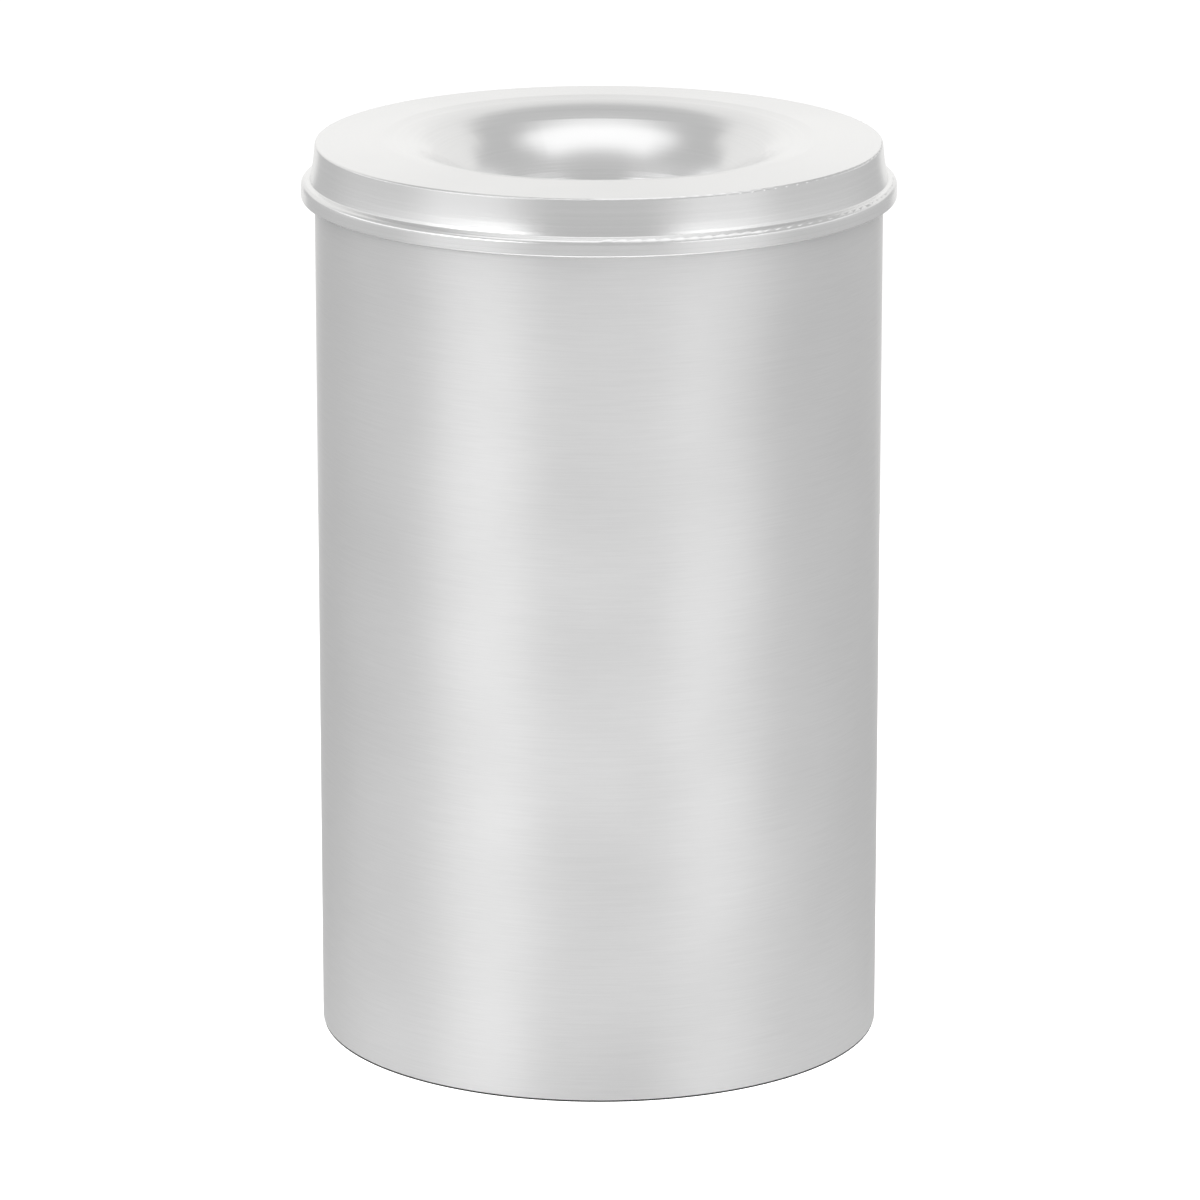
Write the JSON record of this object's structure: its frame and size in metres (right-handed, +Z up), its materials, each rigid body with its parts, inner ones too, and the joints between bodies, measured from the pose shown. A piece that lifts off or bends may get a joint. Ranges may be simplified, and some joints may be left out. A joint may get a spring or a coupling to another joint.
{
  "type": "fire-safe wastepaper bin",
  "caption": "Round brushed steel wastepaper bin with a loose spun aluminium head whose funnel smothers a fire.",
  "frame": {"origin": "on the floor, on the bin's vertical axis", "axes": "+Z up along the bin's axis; the drum's lap seam is at the back, +Y; -Y is the front"},
  "size_m": [0.46, 0.46, 0.71],
  "materials": {
    "brushed_stainless_steel": "brushed round the drum, satin",
    "steel_wire": "drawn wire",
    "pressed_steel": "mill finish",
    "black_plastic": "moulded, matte",
    "spun_aluminium": "spun, pale satin"
  },
  "bodies": {
    "bin": {"drum_shell": "brushed_stainless_steel", "rim_wire": "steel_wire", "base_pan": "pressed_steel", "floor_ring": "black_plastic"},
    "head": {"spun_head": "spun_aluminium"}
  },
  "joints": [
    {"name": "head_lift", "type": "slide", "parent": "bin", "child": "head", "axis": [0, 0, 1], "range_m": [0, 0.15]}
  ]
}
